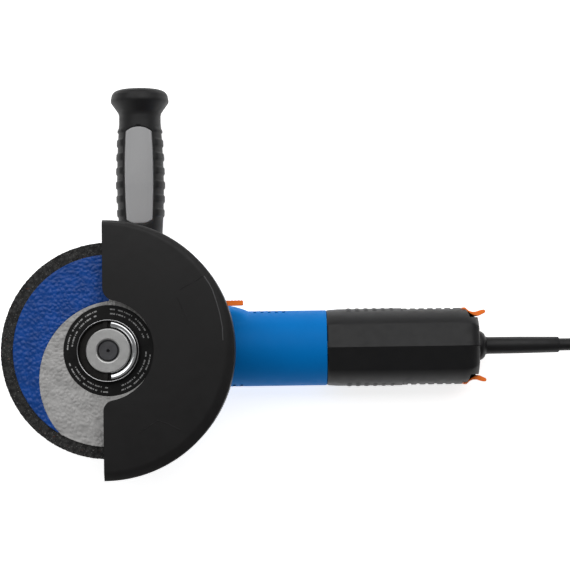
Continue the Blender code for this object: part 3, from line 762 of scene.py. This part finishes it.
def make_motor_body():
    front = CASE_END + GAP
    outer = [(BODY_R - 0.6, front), (BODY_R - 0.2, front + 0.5), (BODY_R - 0.2, 59.5)]
    outer += [(MOTOR_R + 0.4, 61.5)]
    outer += [(MOTOR_R, 64.0 + 1.3 * i) for i in range(30)]
    outer += [(MOTOR_R, MOTOR_END - 0.5), (MOTOR_R - 0.4, MOTOR_END)]
    profile = [(MOTOR_R - WALL, front)] + outer + [(MOTOR_R - WALL, MOTOR_END)]
    mesh = turned(profile, 144)
    for vert in mesh.verts:
        radius = math.hypot(vert.co.x, vert.co.y)
        if radius > MOTOR_R - 1:
            angle = math.degrees(math.atan2(vert.co.y, vert.co.x))
            window = smooth_step((34 - abs(angle - 102)) / 20)
            swell = hump_rise(vert.co.z) * window
            vert.co.x *= 1 + swell / radius
            vert.co.y *= 1 + swell / radius
    shell = piece("motor_shell", mesh, "blue", None, **ON_MOTOR)
    combine(shell, block((116, 20, -3.5), (148, 26.1, 3.5)), **ON_FLANK)
    combine(shell, block((114, 26.0, -6.5), (150, 32, 6.5)), **ON_FLANK)
    for side in (-1, 1):
        for k in range(5):
            x = 99 + 5.2 * k if side > 0 else 68 + 5.2 * k
            low, high = sorted((side * 20, side * 29.5))
            combine(shell, block((x, low, AXIS_Z - 2), (x + 2.0, high, AXIS_Z + 9)))
    soften(shell, 0.25)
    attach(shell, "housing")
    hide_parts("motor_housing")


def make_handle_body():
    """Two shells with a flat facet either side of the top seam, cut back at the end for the tabs."""
    front = MOTOR_END + GAP
    outer = [(MOTOR_R - WALL, front), (MOTOR_R - 0.3, front), (MOTOR_R, front + 0.4), (27.4, 154)]
    outer += [(27.8, 160), (BODY_R, 200), (BODY_R, 248), (27.8, 251), (27.2, 254.5), (26.0, 257.4)]
    outer += [(24.0, 259.8), (22.2, 260.8), (21.0, TAIL_END), (9.5, TAIL_END), (9.5, 258), (19, 258)]
    outer += [(MOTOR_R - WALL, 250)]
    for name, side, start in (("left", 1, 0.4), ("right", -1, 180.4)):
        mesh = turned(outer, 96, start, 179.2)
        for vert in mesh.verts:
            radius = math.hypot(vert.co.x, vert.co.y)
            from_top = abs(180 - math.degrees(math.atan2(abs(vert.co.y), vert.co.x)))
            if radius > 20.5 and from_top < 2 * FACET:
                flat = math.cos(math.radians(FACET)) / math.cos(math.radians(from_top - FACET))
                vert.co.x *= flat
                vert.co.y *= flat
        shell = piece(f"tail_shell_{name}", mesh, "black", None, **ON_MOTOR)
        low, high = sorted((side * 15, side * 35))
        combine(shell, block((206, low, AXIS_Z - 11), (250, high, AXIS_Z + 11)))
        low, high = sorted((side * 20.5, side * 35))
        combine(shell, block((249.8, low, AXIS_Z - 8.6), (263, high, AXIS_Z + 8.6)))
        corner = [(252.2, 27), (254.4, 20.5), (270, 20.5), (270, 40), (252.2, 40)]
        combine(shell, prism([(x, side * y) for x, y in corner], AXIS_Z - 8.6, 60))
        soften(shell, 0.3)
        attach(shell, "housing")
        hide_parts(f"handle_shell_{name}")
        ribs(name, side)
        screen(name, side)
        tab(name, side)
        tongue = [(25.6, front + 1), (MOTOR_R - 0.3, front + 1), (MOTOR_R + 0.1, 162)]
        tongue += [(MOTOR_R + 0.1, 247), (25.6, 249)]
        strip = turned(tongue, 6, 90 + side * 90 - 3, 6)
        piece(f"seam_tongue_{name}", strip, "soft_black", "housing", **ON_MOTOR)


def ribs(name, side):
    """Raised grip ribs on the handle's flank, with soft ends."""
    mesh = bmesh.new()
    around = 24
    for k in range(6):
        x0 = 166 + 6.2 * k
        rows = []
        for j in range(7):
            t = j / 6
            lift = 0.42 * math.sin(math.pi * t)
            row = []
            for i in range(around + 1):
                a = math.radians(side * 90 - 24 + 48 * i / around)
                ease = smooth_step(min(i, around - i) / 4)
                radius = BODY_R - 0.1 + lift * ease
                row.append((x0 + 3.6 * t, radius * math.sin(a), AXIS_Z - radius * math.cos(a)))
            rows.append(row)
        add_to(mesh, sheet_grid(rows))
    piece(f"grip_ribs_{name}", mesh, "soft_black", "housing", sharp=70)


def screen(name, side):
    ring = [(25.4, 206.4), (27.4, 206.4), (27.7, 206.8), (27.7, 249), (27.4, 249.4), (25.4, 249.4)]
    made = piece(f"intake_screen_{name}", turned(ring, 24, side * 90 - 22, 44), "black", None, **ON_MOTOR)
    for i in range(6):
        x = 210 + 6.3 * i
        low, high = sorted((side * 20, side * 30))
        combine(made, block((x, low, AXIS_Z - 7), (x + 2.6, high, AXIS_Z + 7)))
    soften(made, 0.25)
    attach(made, "housing")
    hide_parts(f"dust_screen_{name}")


def tab(name, side):
    outline = [(250.3, 27.9), (252.0, 27.6), (253.3, 26.4), (254.6, 25.3), (256.9, 24.5), (259, 24.5)]
    outline += [(261, 24.9), (264, 25.9), (265.6, 26.0), (266.5, 25.2), (266.5, 24.1), (265.6, 23.3)]
    outline += [(264.2, 22.7), (262.3, 21.7), (260.8, 21.3), (258, 22.0), (256.1, 23.0), (254.0, 24.4)]
    outline += [(252.4, 25.3), (250.3, 25.6)]
    mesh = prism([(x, side * y) for x, y in outline], AXIS_Z - 8, AXIS_Z + 8)
    replaced = [f"screen_tab_{name}"]
    piece(f"release_tab_{name}", mesh, "orange", f"tab_{name}", bevel=0.4, replaces=replaced, sharp=50)


def make_slider():
    slider = piece("slide_switch", block((121, 26.4, -6), (143, 28.8, 6)), "black", None, **ON_FLANK)
    for i in range(6):
        x = 124 + 3 * i
        combine(slider, block((x, 28.4, -5), (x + 1.3, 29.6, 5)), "UNION", **ON_FLANK)
    combine(slider, block((128, 24.8, -3), (136, 26.6, 3)), "UNION", **ON_FLANK)
    soften(slider, 0.3)
    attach(slider, "switch")
    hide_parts("switch_slider")


def make_sleeve():
    face = TAIL_END + GAP
    sleeve = [(0, 246), (9.2, 246), (9.2, face), (10.3, face), (10.6, 261.8), (10.6, 262.8), (10.2, 264.0)]
    sleeve += [(9.4, 265.2), (8.2, 266.2), (7.0, 266.6), (6.3, 267.4), (6.15, 269.0), (6.1, 290)]
    sleeve += [(5.7, SLEEVE_END - 0.8), (5.3, SLEEVE_END), (0, SLEEVE_END)]
    piece("lead_sleeve", turned(sleeve, 64), "rubber", "housing", replaces=["bend_sleeve"], **ON_MOTOR)


# The side handle

GRIP = [(60, 15.5), (62, 17.5), (65, 17.5), (69, 15.4), (86, 15.7), (102, 16.6), (120, 17.1)]
GRIP += [(138, 16.7), (154, 15.9), (166, 15.1), (170.5, 15.1), (172.5, 15.6), (180.2, 21.0), (181.6, 21.1)]
GRIP += [(185.4, 20.4), (187.4, 19.2), (188.6, 17.4)]
INLAY_LOW, INLAY_HIGH = 90.8, 161.2
RIB_PITCH = 10.2


def grip_radius(y):
    for (y0, r0), (y1, r1) in zip(GRIP, GRIP[1:]):
        if y <= y1:
            return r0 + (r1 - r0) * (y - y0) / (y1 - y0)
    return GRIP[-1][1]


def inlay_half(y):
    """Half the grey panel's width: barrel shaped, with round ends."""
    middle = (INLAY_LOW + INLAY_HIGH) / 2
    barrel = 10.4 - 1.2 * ((y - middle) / 35.2) ** 2
    to_end = min(y - INLAY_LOW, INLAY_HIGH - y)
    if to_end < 0:
        return 0.0
    return barrel * min(1.0, 0.12 + 0.88 * math.sqrt(min(1.0, to_end / 3.2)))


def grip_ring(y, radius, steps):
    turns = [2 * math.pi * i / steps for i in range(steps + 1)]
    return [(GRIP_X + radius * math.cos(a), y, AXIS_Z + radius * math.sin(a)) for a in turns]


def grip_row(y, steps):
    """One ring of the grip: teeth on both flanks, and a bed for the panel on the upper side."""
    base = grip_radius(y)
    phase = (y - 96.2) % RIB_PITCH
    in_range = smooth_step((y - 92) / 3) * smooth_step((162 - y) / 3)
    tooth = smooth_step(phase / 1.3) * smooth_step((6.4 - phase) / 1.3)
    bed_low, bed_high = INLAY_LOW - 1.2, INLAY_HIGH + 1.2
    row = []
    for i in range(steps + 1):
        a = 2 * math.pi * i / steps
        across, up = math.cos(a), math.sin(a)
        flank = smooth_step((abs(across) - 0.62) / 0.2)
        radius = base + 0.85 * tooth * flank * in_range
        if up > 0 and bed_low < y < bed_high:
            reach = inlay_half(min(max(y, INLAY_LOW), INLAY_HIGH)) + 0.7
            inside = smooth_step((reach - abs(radius * across)) / 0.5)
            ends = smooth_step((y - bed_low) / 0.8) * smooth_step((bed_high - y) / 0.8)
            radius -= 0.9 * inside * ends
        row.append((GRIP_X + radius * across, y, AXIS_Z + radius * up))
    return row


def make_grip():
    steps = 144
    rows = [grip_ring(60, 5.3, steps)]
    rows += [grip_row(60 + 0.6 * i, steps) for i in range(215)]
    for y, radius in ((189.0, 16.0), (189.6, 12.0), (190.0, 6.0), (190.15, 0.01)):
        rows.append(grip_ring(y, radius, steps))
    piece("handle_grip", sheet_grid(rows), "soft_black", "housing", replaces=["side_grip"], sharp=60)


def make_panel():
    """The grey panel let into the grip, with a rounded edge."""
    rows = []
    along, across = 120, 24
    for j in range(along + 1):
        y = INLAY_LOW + (INLAY_HIGH - INLAY_LOW) * j / along
        half = inlay_half(y)
        lip = smooth_step(min(y - INLAY_LOW, INLAY_HIGH - y) / 1.0)
        row = []
        for i in range(across + 1):
            x = half * (2 * i / across - 1)
            edge = smooth_step((half - abs(x)) / 0.9) * lip
            radius = grip_radius(y) - 0.55 + 0.85 * edge
            row.append((GRIP_X + x, y, AXIS_Z + math.sqrt(max(radius * radius - x * x, 0))))
        rows.append(row)
    panel = piece("handle_panel", sheet_grid(rows), "soft_grey", "housing", replaces=["grip_inlay"], sharp=60)
    thick = panel.modifiers.new("thick", "SOLIDIFY")
    thick.thickness = 0.5 * MM
    thick.offset = -1.0


# The lead


def lead_route():
    """The free lead's centreline: out of the sleeve, down to the floor, round the coil and to the plug."""
    points = [(SLEEVE_END + GAP, 0, AXIS_Z), (SLEEVE_END + 2, 0, AXIS_Z)]
    for step in range(1, 9):
        t = step / 8
        fall = (AXIS_Z - LEAD_R) * smooth_step(t)
        points.append((SLEEVE_END + 4 + LEAD_RUN * t, 0, AXIS_Z - fall))
    points += [(410, 0, LEAD_R), (424, 0, LEAD_R), (COIL_X - 1, 0, LEAD_R)]
    fine = smooth_through(points, 8)[:-1]
    inward, outward = (240, 600, 860), (1500, 1860, 2220)
    for step in range(0, 2611, 6):
        shifts = sum(smooth_step((step - begin) / 120) for begin in inward)
        shifts -= sum(smooth_step((step - begin) / 120) for begin in outward)
        radius = COIL_OUTER_TURN - 2 * LEAD_R * shifts
        height = LEAD_R + 2 * LEAD_R * smooth_step((step - 1190) / 100)
        angle = math.radians(step - 90)
        fine.append((COIL_X + radius * math.cos(angle), COIL_Y + radius * math.sin(angle), height))
    x = COIL_X + COIL_OUTER_TURN
    fine += [(x, 76, 13.5), (x, 86, 13.5), (x, 96, 13.5), (x, 104, 13.6), (x, 110, 14.4)]
    fine += [(x, 116, 16.2), (x, 122, 17.3), (x, 128, PLUG_Z)]
    return fine


def between(a, b, c, d, t):
    """The Catmull-Rom curve from b to c, with a before them and d after."""
    bend = (2 * a - 5 * b + 4 * c - d) * t * t
    return 0.5 * (2 * b + (c - a) * t + bend + (3 * b - a - 3 * c + d) * t**3)


def smooth_through(points, steps):
    fine = []
    for i in range(len(points) - 1):
        before = points[max(i - 1, 0)]
        after = points[min(i + 2, len(points) - 1)]
        near = list(zip(before, points[i], points[i + 1], after))
        for step in range(steps):
            fine.append(tuple(between(*values, step / steps) for values in near))
    fine.append(tuple(points[-1]))
    return fine


def make_lead():
    route = lead_route()
    obj = round_curve("lead", route, LEAD_R, "rubber", 5)
    obj.data.splines[0].use_smooth = True
    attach(obj, "housing")
    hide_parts("power_cable", "cable_coil", "cable_tail")
    plug = make_plug(COIL_X + COIL_OUTER_TURN)


def make_plug(x):
    body = [(0, 128.3), (5.6, 128.3), (6.0, 129), (6.4, 134), (7.2, 138), (9.6, 140.4), (11.5, 142)]
    body += [(12.0, 150), (12.6, 157), (14.2, 159), (17.0, 160), (17.5, 160.6), (17.5, 164)]
    body += [(17.0, 164.5), (0, 164.5)]
    place = (x, 0, PLUG_Z)
    return piece("plug_shell", turned(body, 64), "black", "housing", place, ALONG_Y, replaces=["plug_body"])


def finish_cad_nodes():
    """The frame's own nodes that stay on show get the same set of finishes."""
    by_slot = {
        "cast": "cast",
        "blue": "blue",
        "black": "black",
        "orange": "orange",
        "steel": "steel",
        "dark_steel": "dark_steel",
        "bright_steel": "chrome",
        "nut_grey": "nut_grey",
        "sheet_black": "paint",
        "rubber": "rubber",
        "grip_black": "soft_black",
        "grip_grey": "soft_grey",
        "copper": "copper",
        "brass": "brass",
        "graphite": "graphite",
        "abrasive": "grit",
        "potting": "green",
    }
    for part in frame["record"]["subparts"]:
        data = frame["nodes"][part["node"]].data
        data.materials.clear()
        data.materials.append(FINISH[by_slot[part["material_slot"]]])


FINISH = make_materials()
make_camera()
make_stage()
make_lead()
make_disc()
make_nut()
make_guard()
make_head()
make_lever()
make_motor_body()
make_handle_body()
make_slider()
make_sleeve()
make_grip()
make_panel()
finish_cad_nodes()
